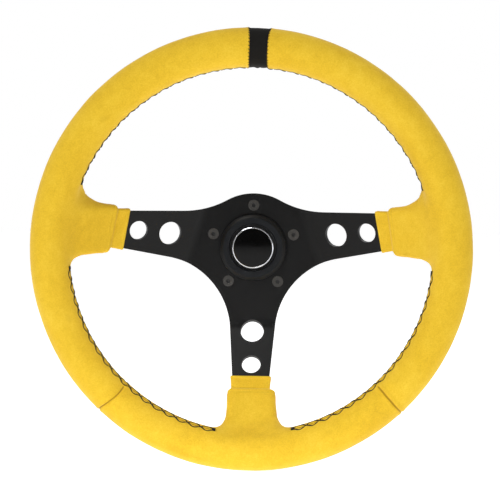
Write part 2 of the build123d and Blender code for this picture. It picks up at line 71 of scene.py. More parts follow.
# ---- the rim's dimensions, in millimetres, in the row frame ----
RIM_RADIUS = 159.15
HALF_WIDTH = 15.45              # the grip's section, radially and along Y
HALF_DEPTH = 15.9
PLATE = 4.0
RIM_MIDDLE = (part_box("rim_wrap_bottom")[0].y + HALF_DEPTH * MM) / MM
HUB_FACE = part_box("spoke_plate")[1].y / MM - PLATE
SIDE_DIRECTION, SIDE_BEND, SIDE_TILT = 18.6, 48.6, 26.8     # the side arms' bend lines and slope
BOTTOM_BEND, BOTTOM_TILT = 64.0, 29.55
SIDE_PAD_HEIGHT = 15.1          # middle of the side sleeves above the axis
ARM_TOP = 29.8
SIDE_EDGE = (98.6, -2.3, math.tan(math.radians(11.8)))      # a point x, z and the slope
BOTTOM_EDGE = (15.4, -103.0, math.tan(math.radians(5.1)))
SUEDE_START = {"left": 102.3, "right": 102.3, "bottom": 104.6}      # the suede's end on each arm
STEP_START = {"left": 111.6, "right": 111.6, "bottom": 113.9}       # where the foam begins under it
SUEDE_SLANT = {"left": math.radians(8), "right": math.radians(8), "bottom": 0.0}
STEP_SLANT = {"left": math.radians(9), "right": math.radians(6), "bottom": 0.0}
PAD_END = 156.0                 # inside the rim, where the sleeves' foam ends
PAD_HALF, PAD_WIDENS = 19.5, 1.5        # half the sleeves' width, and what it gains at the rim
PAD_RUN = 34.0                  # from the step to where the sleeves are widest
PAD_CORNER, STEP_CORNER = 5.2, 4.4      # roundness of the sleeves' long edges and of their step
SLEEVE_LEAN = 2.4               # the bottom sleeve leans this far right where it meets the rim
PAD_DEPTH = 6.7                 # half the sleeves' thickness at the step
FRONT_SWELL, BACK_SWELL = 5.8, 1.5      # how much thicker each side is at the rim
CUFF_SKIN = 1.3                 # the suede and its glue on the bare metal
SUEDE = 1.1                     # thickness of the suede shells
MARKER_ANGLE = 88.0
LEFT_SEAM, RIGHT_SEAM = 227.5, 314.0    # all angles are from +X towards +Z
LACING_ARCS = ((20.3, 158.9), (186.2, 259.2), (284.1, 353.7))
CROSSING = 10.6                 # between the lacing's crossings
SWING = 11.5                    # degrees of grip section the threads swing each way
THREAD = 0.52                   # radius


def unit(v):
    return v / np.linalg.norm(v)


class Arm:
    """One tilted spoke as an affine frame: along it, across it (up, or right) and through the sheet."""

    def __init__(self, name, direction, bend, tilt, run, height):
        angle, tilt = math.radians(direction), math.radians(tilt)
        self.name = name
        out = np.array((math.cos(angle), 0, math.sin(angle)))
        across = np.array((-math.sin(angle), 0, math.cos(angle)))
        slope = out * math.cos(tilt) - np.array((0, math.sin(tilt), 0))
        self.normal = out * math.sin(tilt) + np.array((0, math.cos(tilt), 0))

        def seen_at(x, z):
            reach = out[0] * x + out[2] * z
            side = across[0] * x + across[2] * z
            along = (reach - bend) / math.cos(tilt)
            return out * bend + (0, HUB_FACE, 0) + slope * along + across * side + self.normal * PLATE / 2

        self.origin = seen_at(0, height)
        step = seen_at(run[0], height + run[1]) - self.origin
        self.stretch = np.linalg.norm(step)
        self.ahead = unit(step)
        self.up = np.cross(self.normal, self.ahead)
        if self.up @ ((1, 0, 0) if name == "bottom" else (0, 0, 1)) < 0:
            self.up = -self.up
        if name == "bottom":
            x, z, taper = BOTTOM_EDGE
            lines = [(seen_at(s * x, z), seen_at(s * (x - 50 * taper), z - 50)) for s in (1, -1)]
        else:
            x, z, slope_z = SIDE_EDGE
            s = run[0]
            lines = [(seen_at(s * 90, ARM_TOP), seen_at(s * 140, ARM_TOP)),
                     (seen_at(s * x, z), seen_at(s * (x + 50), z + 50 * slope_z))]
        self.edges = []
        for p, q in lines:                # outward normal in the sheet and its offset
            a = unit(self.flat(q) - self.flat(p))
            n = np.array((-a[1], a[0]))
            if n @ (self.flat(p) - np.array((self.flat(p)[0], 0))) < 0:
                n = -n
            self.edges.append((n, n @ self.flat(p)))

    def flat(self, p):
        d = np.asarray(p) - self.origin
        return np.array((d @ self.ahead, d @ self.up))

    def local(self, p):
        d = p - self.origin
        return d @ self.ahead, d @ self.up, d @ self.normal

    def place(self, a, b, h):
        return self.origin + self.ahead * a + self.up * b + self.normal * h


ARMS = [Arm("left", 180 - SIDE_DIRECTION, SIDE_BEND, SIDE_TILT, (-1, 0), SIDE_PAD_HEIGHT),
        Arm("right", SIDE_DIRECTION, SIDE_BEND, SIDE_TILT, (1, 0), SIDE_PAD_HEIGHT),
        Arm("bottom", 270, BOTTOM_BEND, BOTTOM_TILT, (0, -1), 0)]


# ---- the grip and its sleeves as one smooth distance field ----
def smooth_min(a, b, k):
    h = np.maximum(k - np.abs(a - b), 0) / k
    return np.minimum(a, b) - h * h * k / 4


def smooth_max(a, b, k):
    return -smooth_min(-a, -b, k)


def smooth_step(low, high, x):
    t = np.clip((x - low) / (high - low), 0, 1)
    return t * t * (3 - 2 * t)


def hump(x, width):
    return np.exp(-(x / width) ** 2)


def rounded(x, y, radius):
    """Distance to a corner rounded with the radius, from the distances to its two sides."""
    x, y = x + radius, y + radius
    return np.hypot(np.maximum(x, 0), np.maximum(y, 0)) + np.minimum(np.maximum(x, y), 0) - radius


def grip(p):
    """Distance to the plain grip, an elliptical ring."""
    rho = np.hypot(p[:, 0], p[:, 2]) - RIM_RADIUS
    y = p[:, 1] - RIM_MIDDLE
    size = np.hypot(rho / HALF_WIDTH, y / HALF_DEPTH)
    return (size - 1) * (HALF_WIDTH + HALF_DEPTH) / 2


def field(p):
    """Distance to the whole smooth form that the suede covers."""
    f = grip(p)
    for arm in ARMS:
        a, b, h = arm.local(p)
        run = a / arm.stretch
        share = np.clip((run - STEP_START[arm.name]) / PAD_RUN, 0, 1)
        half = PAD_HALF + PAD_WIDENS * share
        middle = SLEEVE_LEAN * (0.3 + 0.7 * share) if arm.name == "bottom" else 0.0
        swell = smooth_step(0, 1, share)
        depth = PAD_DEPTH + swell * np.where(h < 0, FRONT_SWELL, BACK_SWELL)
        body = rounded(np.abs(b - middle) - half, np.abs(h) - depth, PAD_CORNER)
        start = STEP_START[arm.name] * arm.stretch - b * math.tan(STEP_SLANT[arm.name]) + 0.6
        pad = smooth_max(body, start - a, STEP_CORNER)
        pad = smooth_max(pad, a - PAD_END * arm.stretch, 2.0)
        edge = np.maximum(*[a * n[0] + b * n[1] - c for n, c in arm.edges])
        cuff = rounded(edge - CUFF_SKIN, np.abs(h) - PLATE / 2 - CUFF_SKIN, 1.5)
        cuff = np.maximum(cuff, a - 140 * arm.stretch)
        sleeve = smooth_min(pad, cuff, 2.2)
        flat_side = hump(h, 8.0)
        if arm.name == "bottom":
            k = 13.0 + 7.0 * flat_side
        else:
            k = 13.0 + flat_side * (6.0 + 15.0 * smooth_step(2, 16, b))
        k = 2.0 + (k - 2.0) * (1 - smooth_step(146, 164, run))      # none on the rim's far side
        f = smooth_min(f, sleeve, k)
    return f


def gradient(p, e=0.02):
    g = np.empty_like(p)
    for i in range(3):
        d = np.zeros(3)
        d[i] = e
        g[:, i] = (field(p + d) - field(p - d)) / (2 * e)
    return g


def normals_at(p):
    g = gradient(p)
    return g / np.maximum(np.linalg.norm(g, axis=1), 1e-9)[:, None]


def project(p, rounds=3):
    for _ in range(rounds):
        g = gradient(p)
        p = p - (field(p) / np.maximum((g * g).sum(1), 0.05))[:, None] * g
    return p


# ---- mesh helpers ----
def coordinates(bm):
    return np.array([v.co[:] for v in bm.verts]).reshape(-1, 3)


def set_coordinates(bm, p):
    for v, c in zip(bm.verts, p):
        v.co = c


def relax(bm, p, rounds, amount=0.5):
    """Evens the mesh out along the surface."""
    edges = np.array([[v.index for v in e.verts] for e in bm.edges])
    count = np.bincount(edges.ravel(), minlength=len(p)).astype(float)[:, None]
    for _ in range(rounds):
        total = np.zeros_like(p)
        np.add.at(total, edges[:, 0], p[edges[:, 1]])
        np.add.at(total, edges[:, 1], p[edges[:, 0]])
        move = total / count - p
        n = normals_at(p)
        move -= (move * n).sum(1)[:, None] * n
        p = project(p + amount * move, 1)
    return p


def base_mesh(voxel):
    """The ring and the sleeves as plain overlapping forms, made one by a voxel remesh."""
    bm = bmesh.new()
    around, section = 200, 24
    grid = []
    for i in range(around):
        t = 2 * math.pi * i / around
        row = []
        for j in range(section):
            s = 2 * math.pi * j / section
            r = RIM_RADIUS + (HALF_WIDTH + 0.3) * math.cos(s)
            row.append(bm.verts.new((r * math.cos(t), RIM_MIDDLE + (HALF_DEPTH + 0.3) * math.sin(s),
                                     r * math.sin(t))))
        grid.append(row)
    for i in range(around):
        for j in range(section):
            bm.faces.new((grid[i][j], grid[i - 1][j], grid[i - 1][j - 1], grid[i][j - 1]))
    bmesh.ops.recalc_face_normals(bm, faces=bm.faces)
    for arm in ARMS:
        for start, end, half_b, half_h in ((SUEDE_START[arm.name] - 9, 125, 18.3, 3.5),
                                           (STEP_START[arm.name] + 0.5, PAD_END, PAD_HALF, 6.8)):
            made = bmesh.ops.create_cube(bm, size=1.0)["verts"]
            middle = -1.4 if half_h < 4 and arm.name != "bottom" else 0
            if half_h < 4 and arm.name == "bottom":
                half_b = 17.6
            for v in made:
                a = (start if v.co.x < 0 else end) * arm.stretch
                deep = half_h + (FRONT_SWELL if v.co.x > 0 and v.co.z < 0 and half_h > 4 else 0)
                v.co = arm.place(a, middle + 2 * half_b * v.co.y, 2 * deep * v.co.z)
    bmesh.ops.recalc_face_normals(bm, faces=bm.faces)
    mesh = bpy.data.meshes.new("grip_base")
    bm.to_mesh(mesh)
    bm.free()
    made = bpy.data.objects.new("grip_base", mesh)
    bpy.context.scene.collection.objects.link(made)
    modifier = made.modifiers.new("remesh", "REMESH")
    modifier.mode = "VOXEL"
    modifier.voxel_size = voxel
    graph = bpy.context.evaluated_depsgraph_get()
    result = bpy.data.meshes.new_from_object(made.evaluated_get(graph))
    bpy.data.objects.remove(made)
    bm = bmesh.new()
    bm.from_mesh(result)
    bpy.data.meshes.remove(result)
    bpy.data.meshes.remove(mesh)
    return bm


# ---- lines on the grip ----
def section_angle(p):
    """0 at the ring's inner edge, +90 towards the driver, in degrees."""
    rho = np.hypot(p[:, 0], p[:, 2]) - RIM_RADIUS
    return np.degrees(np.arctan2(-(p[:, 1] - RIM_MIDDLE), -rho))


def wheel_angle(p):
    return np.degrees(np.arctan2(p[:, 2], p[:, 0])) % 360


def lacing_line(theta):
    """Section angle of the sewn line: a little further towards the driver at the bottom."""
    return 3.0 - 15.0 * np.sin(np.radians(theta))


def marker_half(beta):
    """Half the marker's span in degrees at a section angle: narrow at the front, wide outside."""
    across = np.cos(np.radians(beta))          # 1 inside, -1 outside
    width = 13.8 + 0.2 * np.clip(across, 0, 1) ** 2 + 2.9 * np.clip(-across, 0, 1) ** 2
    radius = RIM_RADIUS - HALF_WIDTH * across
    return np.degrees(width / 2 / radius)


def left_seam_shift(beta):
    return 0.55 * np.sin(np.radians(2.0 * beta - 30))


def right_seam_shift(beta):
    return 0.15 * np.sin(np.radians(1.6 * beta + 20))


SEAMS = [
    (MARKER_ANGLE, lambda beta: marker_half(beta)),
    (MARKER_ANGLE, lambda beta: -marker_half(beta)),
    (LEFT_SEAM, left_seam_shift),
    (RIGHT_SEAM, right_seam_shift),
]


def turned(p, degrees):
    t = np.radians(degrees)
    c, s = np.cos(t), np.sin(t)
    return np.stack((p[:, 0] * c - p[:, 2] * s, p[:, 1], p[:, 0] * s + p[:, 2] * c), 1)


def off_seam(p, seam):
    """Distance along the rim from a seam, in millimetres, positive at larger angles."""
    angle, shift = seam
    beta = section_angle(p)
    d = (wheel_angle(p) - angle - shift(beta) + 180) % 360 - 180
    return np.radians(d) * np.hypot(p[:, 0], p[:, 2])


def on_rim(p):
    """Away from the sleeves, where the seams and the lacing are."""
    return np.abs(grip(p)) < 3.0


def on_sleeve(run, b, h):
    """Near one arm's sleeve, not another's or the far side of the rim."""
    return (run > 60) & (np.abs(b) < 30) & (np.abs(h) < 12)


def off_lacing(p):
    """Distance across the grip from the sewn line, and the distance past its arc's ends."""
    theta, beta = wheel_angle(p), section_angle(p)
    across = np.radians((beta - lacing_line(theta) + 180) % 360 - 180) * HALF_WIDTH
    beyond = np.full(len(p), 999.0)
    for start, end in LACING_ARCS:
        to_start, to_end = (np.abs((theta - a + 180) % 360 - 180) for a in (start, end))
        past = np.minimum(to_start, to_end)
        past = np.where((theta - start) % 360 <= end - start, 0, past)
        beyond = np.minimum(beyond, np.radians(past) * (RIM_RADIUS - HALF_WIDTH))
    return across, beyond


def along_lacing(p):
    """Distance along the current arc, in crossings."""
    theta = wheel_angle(p)
    position = np.zeros(len(p))
    for start, end in LACING_ARCS:
        length = math.radians(end - start) * (RIM_RADIUS - HALF_WIDTH)
        count = round(length / CROSSING)
        inside = (theta - start) % 360 <= end - start
        position = np.where(inside, (theta - start) % 360 / (end - start) * count, position)
    return position


def subdivide_near(bm, near):
    bm.faces.ensure_lookup_table()
    centres = np.array([f.calc_center_median()[:] for f in bm.faces])
    chosen = [f for f, yes in zip(bm.faces, near(centres)) if yes]
    edges = dict.fromkeys(e for f in chosen for e in f.edges)       # in the same order in every run
    bmesh.ops.subdivide_edges(bm, edges=list(edges), cuts=1, use_grid_fill=True)
    bm.verts.index_update()
    bm.faces.index_update()


def cut(bm, point, normal, near, clear_inner=False):
    bm.faces.ensure_lookup_table()
    centres = np.array([f.calc_center_median()[:] for f in bm.faces])
    chosen = [f for f, yes in zip(bm.faces, near(centres)) if yes]
    edges = dict.fromkeys(e for f in chosen for e in f.edges)
    verts = dict.fromkeys(v for f in chosen for v in f.verts)
    bmesh.ops.bisect_plane(bm, geom=list(verts) + list(edges) + chosen, dist=0.02,
                           plane_co=Vector(point), plane_no=Vector(normal), clear_inner=clear_inner)
    bm.verts.index_update()


def cut_seam(bm, seam):
    angle, shift = seam
    p = coordinates(bm)
    set_coordinates(bm, turned(p, -shift(section_angle(p))))
    t = math.radians(angle)

    def near(c):
        away = np.radians((wheel_angle(c) - angle + 180) % 360 - 180) * RIM_RADIUS
        return np.abs(away) < 8

    cut(bm, (0, RIM_MIDDLE, 0), (-math.sin(t), 0, math.cos(t)), near)
    p = coordinates(bm)
    set_coordinates(bm, turned(p, shift(section_angle(p))))


def fbm(points, scale, octaves=3):
    out = np.empty(len(points))
    for i, c in enumerate(points):
        out[i] = noise.fractal(Vector(c) / scale, 1.0, 2.0, octaves)
    return out


def relief(p):
    """How far the suede stands off the smooth form, in millimetres."""
    d = 0.16 * fbm(p, 34.0, 2) + 0.07 * fbm(p + 50, 9.0, 2)
    rim = on_rim(p)
    # the sewn line: a groove between two puffed edges, pulled in at each needle hole
    across, beyond = off_lacing(p)
    there = 1 - smooth_step(0.0, 4.0, beyond)
    step = along_lacing(p)
    hole = np.cos(2 * math.pi * (step - 0.5)) * 0.5 + 0.5
    d += there * (-0.75 * hump(across, 0.8) + 0.14 * hump(np.abs(across) - 2.2, 1.1))
    d += there * (-0.22 * hump(np.abs(across) - 3.1, 0.9) * hole ** 3
                  + 0.05 * hump(np.abs(across) - 4.8, 1.6) * (1 - hole))
    for seam in SEAMS[2:]:
        away = off_seam(p, seam)
        clear = smooth_step(3.0, 6.0, np.abs(across))
        d += rim * clear * (-0.85 * hump(away, 0.75) + 0.28 * hump(np.abs(away) - 2.0, 1.2))
    beta = section_angle(p)
    middle = np.radians((wheel_angle(p) - MARKER_ANGLE + 180) % 360 - 180) * np.hypot(p[:, 0], p[:, 2])
    half = np.radians(marker_half(beta)) * np.hypot(p[:, 0], p[:, 2])
    edge = np.abs(middle) - half
    d += rim * (-0.30 * (1 - smooth_step(-1.2, 0.2, edge)) - 0.55 * hump(edge, 0.6)
                + 0.28 * hump(edge - 1.6, 1.1))
    # folds where the sleeves turn into the rim, and a rolled edge at the suede's end
    for arm in ARMS:
        a, b, h = arm.local(p)
        run = a / arm.stretch
        close = smooth_step(112, 124, run) * (1 - smooth_step(142, 152, run)) * hump(h, 16)
        fan = np.arctan2(run - 150, np.abs(b) - 4)
        d += 0.10 * close * smooth_step(12, 20, np.abs(b)) * np.sin(fan * 17 + 0.12 * run)
        slant = SUEDE_SLANT[arm.name]
        start = SUEDE_START[arm.name] * arm.stretch - b * math.tan(slant)
        d += 0.16 * hump(a - start - 1.2, 0.9) * (np.abs(h) < 4.5) * (run < 112)
        ledge = a - STEP_START[arm.name] * arm.stretch + b * math.tan(STEP_SLANT[arm.name])
        sleeve = (run < 140) & on_sleeve(run, b, h)
        d += sleeve * (-0.24 * hump(ledge + 0.4, 0.8) + 0.10 * hump(ledge - 2.2, 1.0)
                       - 0.26 * hump(ledge - 4.6, 0.7) + 0.08 * hump(ledge - 6.2, 1.0))
    return d


# ---- build the suede ----
def build_suede():
    bm = base_mesh(1.6)
    bm.faces.ensure_lookup_table()
    centres = np.array([f.calc_center_median()[:] for f in bm.faces])
    stub = np.zeros(len(centres), bool)
    for arm in ARMS:
        a, b, h = arm.local(centres)
        short = (a > 0) & (a / arm.stretch < SUEDE_START[arm.name] - 5)
        stub |= short & (np.abs(b) < 30) & (np.abs(h) < 12)
    bmesh.ops.delete(bm, geom=[f for f, yes in zip(bm.faces, stub) if yes], context="FACES")
    bm.verts.index_update()
    p = project(coordinates(bm), 4)
    p = relax(bm, p, 6)
    set_coordinates(bm, p)

    def near_detail(c, lace, seam):
        across, beyond = off_lacing(c)
        yes = (np.abs(across) < lace) & (beyond < 4) & on_rim(c)
        for line in SEAMS:
            yes |= (np.abs(off_seam(c, line)) < seam) & on_rim(c)
        return yes

    def near_cuff(c):
        yes = np.zeros(len(c), bool)
        for arm in ARMS:
            a, b, h = arm.local(c)
            run = a / arm.stretch
            yes |= (run < STEP_START[arm.name] + 5) & on_sleeve(run, b, h)
        return yes

    subdivide_near(bm, lambda c: near_detail(c, 6.0, 3.0) | near_cuff(c))
    set_coordinates(bm, project(coordinates(bm), 2))
    subdivide_near(bm, lambda c: near_detail(c, 1.6, 1.2))
    set_coordinates(bm, project(coordinates(bm), 2))

    for arm in ARMS:
        slant = SUEDE_SLANT[arm.name]
        point = arm.place(SUEDE_START[arm.name] * arm.stretch, 0, 0)
        normal = arm.ahead + arm.up * math.tan(slant)

        def near(c, arm=arm):
            a, b, h = arm.local(c)
            run = a / arm.stretch
            return (run < STEP_START[arm.name]) & on_sleeve(run, b, h)

        cut(bm, point, normal, near, clear_inner=True)
    for seam in SEAMS:
        cut_seam(bm, seam)

    p = coordinates(bm)
    n = normals_at(p)
    set_coordinates(bm, p + n * relief(p)[:, None])
    bm.verts.index_update()
    bm.faces.ensure_lookup_table()
    centres = np.array([f.calc_center_median()[:] for f in bm.faces])
    from_marker = [off_seam(centres, s) for s in SEAMS[:2]]
    theta = wheel_angle(centres)
    marker = (from_marker[0] < 0) & (from_marker[1] > 0) & (np.abs(theta - MARKER_ANGLE) < 20)
    before_left = off_seam(centres, SEAMS[2]) < 0
    before_right = off_seam(centres, SEAMS[3]) < 0
    left = (theta > MARKER_ANGLE) & (theta < 270) & before_left
    bottom = (theta > 180) & ~left & ((theta < 270) | before_right)
    panel = np.where(marker, 3, np.where(left, 0, np.where(bottom, 1, 2)))
    return bm, panel


def new_object(name, bm, scale=MM):
    mesh = bpy.data.meshes.new(name)
    bmesh.ops.scale(bm, vec=(scale,) * 3, verts=bm.verts)
    bm.to_mesh(mesh)
    bm.free()
    for poly in mesh.polygons:
        poly.use_smooth = True
    made = bpy.data.objects.new(name, mesh)
    bpy.context.scene.collection.objects.link(made)
    return made


def closed_shell(source, keep, thickness):
    """The kept faces as a closed sheet: the outer side, an inner side below it and the rim between."""
    bm = source.copy()
    bm.faces.ensure_lookup_table()
    bmesh.ops.delete(bm, geom=[f for f, yes in zip(bm.faces, keep) if not yes], context="FACES")
    bm.verts.index_update()
    p = coordinates(bm)
    n = normals_at(p)
    outer = list(bm.verts)
    inner = [bm.verts.new(c) for c in p - n * thickness]
    rim = [e for e in bm.edges if len(e.link_faces) == 1]
    loops = []
    for e in rim:
        loop = e.link_loops[0]
        loops.append((loop.vert.index, loop.link_loop_next.vert.index))
    for f in list(bm.faces):
        bm.faces.new([inner[v.index] for v in reversed(f.verts)])
    for a, b in loops:
        bm.faces.new((outer[b], outer[a], inner[a], inner[b]))
    return bm


def paint_hollow_shade(made):
    """How deep each point lies in a seam or a fold: painted shade and dirt for the suede's colour there.
    """
    mesh = made.data
    p = np.empty(len(mesh.vertices) * 3)
    mesh.vertices.foreach_get("co", p)
    p = p.reshape(-1, 3) / MM
    # painted shade and dirt: the deeper the relief sinks, the darker the suede is painted
    depth = np.clip(-(relief(p) + 0.12) / 0.6, 0, 1)
    hollow_shade = mesh.attributes.new("hollow_shade", "FLOAT", "POINT")
    hollow_shade.data.foreach_set("value", depth.astype(np.float32))


suede, panel_of = build_suede()
pieces = {}
for index, (name, node) in enumerate((("wrap_left", "rim_wrap_left"), ("wrap_bottom", "rim_wrap_bottom"),
                                      ("wrap_right", "rim_wrap_right"), ("centre_marker", "rim_marker"))):
    pieces[name] = new_object(name, closed_shell(suede, panel_of == index, SUEDE))
    paint_hollow_shade(pieces[name])
    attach(pieces[name], "wheel")
    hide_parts(node)
    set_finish(pieces[name], "black_suede" if name == "centre_marker" else "yellow_suede")
suede.free()
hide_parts("rim_foam")


# ---- thread ----
def on_grip(theta, beta, lift):
    """Points at wheel and section angles in degrees, lifted off the suede's relief."""
    t, b = np.radians(theta), np.radians(beta)
    rho = RIM_RADIUS - HALF_WIDTH * np.cos(b)
    flat = np.stack((rho * np.cos(t), RIM_MIDDLE - HALF_DEPTH * np.sin(b), rho * np.sin(t)), 1)
    n = np.stack((-np.cos(b) * np.cos(t), -np.sin(b), -np.cos(b) * np.sin(t)), 1)
    return flat + n * (relief(flat) + lift)[:, None], n


def tube(bm, line, out, radius, sides=8):
    """A thread along a line of points; out points away from what it lies on."""
    ahead = np.gradient(line, axis=0)
    ahead /= np.linalg.norm(ahead, axis=1)[:, None]
    side = np.cross(ahead, out)
    side /= np.linalg.norm(side, axis=1)[:, None]
    top = np.cross(side, ahead)
    rings = []
    for c, s, t in zip(line, side, top):
        angles = [2 * math.pi * k / sides for k in range(sides)]
        rings.append([bm.verts.new(c + radius * (math.cos(a) * s + math.sin(a) * t)) for a in angles])
    for a, b in zip(rings, rings[1:]):
        for k in range(sides):
            bm.faces.new((a[k - 1], a[k], b[k], b[k - 1]))
    bm.faces.new(rings[0])
    bm.faces.new(list(reversed(rings[-1])))


def lacing_thread():
    bm = bmesh.new()
    for start, end in LACING_ARCS:
        length = math.radians(end - start) * (RIM_RADIUS - HALF_WIDTH)
        count = round(length / CROSSING)
        u = np.linspace(0, count, count * 14 + 1)
        theta = start + (end - start) * u / count
        for way in (1, -1):
            swing = np.sin(math.pi * u)
            swing = np.sign(swing) * np.abs(swing) ** 0.85 * SWING * way
            beta = lacing_line(theta) + swing
            bridge = np.cos(math.pi * u) ** 2
            over = np.cos(math.pi * u) * way
            lift = bridge * (0.14 + 0.34 * over) - 0.12 * (1 - bridge)
            line, out = on_grip(theta, beta, lift)
            tube(bm, line, out, THREAD)
        for at, inward in ((start, 1), (end, -1)):
            for k in range(3):
                s = np.linspace(-6.5, 6.5, 9)
                arch = 0.75 - 0.9 * np.abs(s / 6.5) ** 3
                theta = np.full(9, at + inward * (k - 1) * 0.34)
                line, out = on_grip(theta, lacing_line(theta) + s, arch + 0.2)
                tube(bm, line, out, 0.5)
    return bm


def marker_stitches():
    """Short slanted stitches over both edges of the centre marker."""
    bm = bmesh.new()
    for way in (1, -1):
        for k in range(32):
            beta = 14.0 + k * 10.7
            s = np.linspace(-1, 1, 7)
            bend = beta + 2.4 * s
            half = marker_half(bend)
            radius = RIM_RADIUS - HALF_WIDTH * np.cos(np.radians(bend))
            reach = np.degrees((0.80 * s + 0.10) / radius)
            line, out = on_grip(MARKER_ANGLE + way * (half + reach), bend, 0.22 - 0.45 * s ** 4)
            tube(bm, line, out, 0.30, 6)
    return bm


for name, made, node in (("lacing_thread", lacing_thread(), "rim_lacing"),
                         ("marker_stitches", marker_stitches(), None)):
    bmesh.ops.recalc_face_normals(made, faces=made.faces)
    piece = new_object(name, made)
    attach(piece, "wheel")
    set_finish(piece, "black_thread")
    if node:
        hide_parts(node)
    pieces[name] = piece


def spring(name, node, radius, wire, turns, slot):
    """A coil with closed ends, where the CAD node is."""
    low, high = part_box(node)
    front, back_end = low.y / MM + wire, high.y / MM - wire
    steps = turns * 48
    u = np.linspace(0, 1, steps + 1)
    rise = np.interp(u, (0, 0.18, 0.82, 1), (0, 0.09, 0.91, 1))
    angle = 2 * math.pi * turns * u
    line = np.stack((radius * np.cos(angle), front + (back_end - front) * rise, radius * np.sin(angle)), 1)
    out = np.stack((np.cos(angle), np.zeros(len(u)), np.sin(angle)), 1)
    bm = bmesh.new()
    tube(bm, line, out, wire, 12)
    bmesh.ops.recalc_face_normals(bm, faces=bm.faces)
    made = new_object(name, bm)
    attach(made, "wheel")
    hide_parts(node)
    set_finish(made, slot)
    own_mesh(made)
    return made


springs = [spring("collar_spring", "release_spring", 21.2, 0.65, 3, "spring_steel"),
           spring("button_spring", "horn_spring", 9.0, 0.5, 4, "spring_steel")]


# ---- materials ----
def set_range(node, *numbers):
    for socket, number in zip(("From Min", "From Max", "To Min", "To Max"), numbers):
        node.inputs[socket].default_value = number


class Finish:
    """A material under construction: its shader, and the few nodes that every finish uses."""

    def __init__(self, name, colour, metallic=0.0, roughness=0.5, **sockets):
        self.material = bpy.data.materials.new(name)
        self.material.use_nodes = True
        self.tree = self.material.node_tree
        self.shader = self.tree.nodes["Principled BSDF"]
        self.set("Base Color", (*colour, 1))
        self.set("Metallic", metallic)
        self.set("Roughness", roughness)
        for socket, value in sockets.items():
            self.set(socket.replace("_", " "), value)
        self.place = self.node("ShaderNodeTexCoord").outputs["Object"]

    def set(self, socket, value):
        self.shader.inputs[socket].default_value = value

    def node(self, kind, **values):
        made = self.tree.nodes.new(kind)
        for key, value in values.items():
            setattr(made, key, value)
        return made

    def link(self, a, b):
        self.tree.links.new(a, b)

    def noise(self, size, detail=2.0, rough=0.5, stretch=None):
        """Noise whose features are about size millimetres across, from 0 to 1."""
        made = self.node("ShaderNodeTexNoise")
        made.inputs["Scale"].default_value = 1000.0 / size
        made.inputs["Detail"].default_value = detail
        made.inputs["Roughness"].default_value = rough
        place = self.place
        if stretch:
            mapping = self.node("ShaderNodeMapping")
            mapping.inputs["Scale"].default_value = stretch
            self.link(place, mapping.inputs["Vector"])
            place = mapping.outputs["Vector"]
        self.link(place, made.inputs["Vector"])
        return made.outputs["Fac"]

    def span(self, value, low, high, to_low, to_high):
        made = self.node("ShaderNodeMapRange")
        self.link(value, made.inputs["Value"])
        set_range(made, low, high, to_low, to_high)
        return made.outputs["Result"]

    def mix(self, amount, a, b, blend="MIX"):
        made = self.node("ShaderNodeMix", data_type="RGBA", blend_type=blend)
        for socket, value in ((made.inputs[0], amount), (made.inputs[6], a), (made.inputs[7], b)):
            if isinstance(value, (tuple, float, int)):
                socket.default_value = (*value, 1) if isinstance(value, tuple) else value
            else:
                self.link(value, socket)
        return made.outputs[2]

    def maths(self, operation, a, b):
        made = self.node("ShaderNodeMath", operation=operation)
        for socket, value in zip(made.inputs, (a, b)):
            if isinstance(value, (float, int)):
                socket.default_value = value
            else:
                self.link(value, socket)
        return made.outputs[0]

    def colour(self, output):
        self.link(output, self.shader.inputs["Base Color"])

    def roughness(self, output):
        self.link(output, self.shader.inputs["Roughness"])

    def bump(self, *layers, bevel=None):
        """Layers of (height, depth in millimetres)."""
        normal = None
        if bevel:
            made = self.node("ShaderNodeBevel", samples=4)
            made.inputs["Radius"].default_value = bevel * MM
            normal = made.outputs["Normal"]
        for height, depth in layers:
            made = self.node("ShaderNodeBump")
            made.inputs["Distance"].default_value = depth * MM
            made.inputs["Strength"].default_value = 1.0
            self.link(height, made.inputs["Height"])
            if normal:
                self.link(normal, made.inputs["Normal"])
            normal = made.outputs["Normal"]
        self.link(normal, self.shader.inputs["Normal"])


def suede_finish(name, deep, mid, light, hollow_shade, sheen, tint):
    f = Finish(name, mid, roughness=0.92, Specular_IOR_Level=0.18,
               Sheen_Weight=sheen, Sheen_Roughness=0.38, Sheen_Tint=(*tint, 1))
    cloud = f.noise(38.0, 3.0, 0.55)
    brushed = f.noise(7.0, 3.0, 0.6)
    nap = f.noise(1.1, 3.0, 0.65)
    tone = f.maths("ADD", f.span(cloud, 0.3, 0.7, 0.12, 0.42), f.span(brushed, 0.3, 0.7, 0.0, 0.24))
    tone = f.maths("ADD", tone, f.span(nap, 0.30, 0.70, -0.12, 0.36))
    shade = f.mix(f.span(tone, 0.0, 0.5, 0.0, 1.0), deep, mid)
    shade = f.mix(f.span(tone, 0.5, 1.0, 0.0, 1.0), shade, light)
    marks = f.noise(16.0, 1.0)
    shade = f.mix(f.span(marks, 0.70, 0.80, 0.0, 0.35), shade, deep)
    # painted shade and dirt: the suede darkens towards its fourth colour in seams, grooves and folds
    attribute = f.node("ShaderNodeAttribute", attribute_name="hollow_shade")
    f.colour(f.mix(f.span(attribute.outputs["Fac"], 0.1, 1.0, 0.0, 0.75), shade, hollow_shade))
    f.roughness(f.span(nap, 0.3, 0.7, 0.86, 0.98))
    f.bump((f.noise(0.45, 3.0, 0.7), 0.09), (brushed, 0.10), (cloud, 0.25))
    return f.material


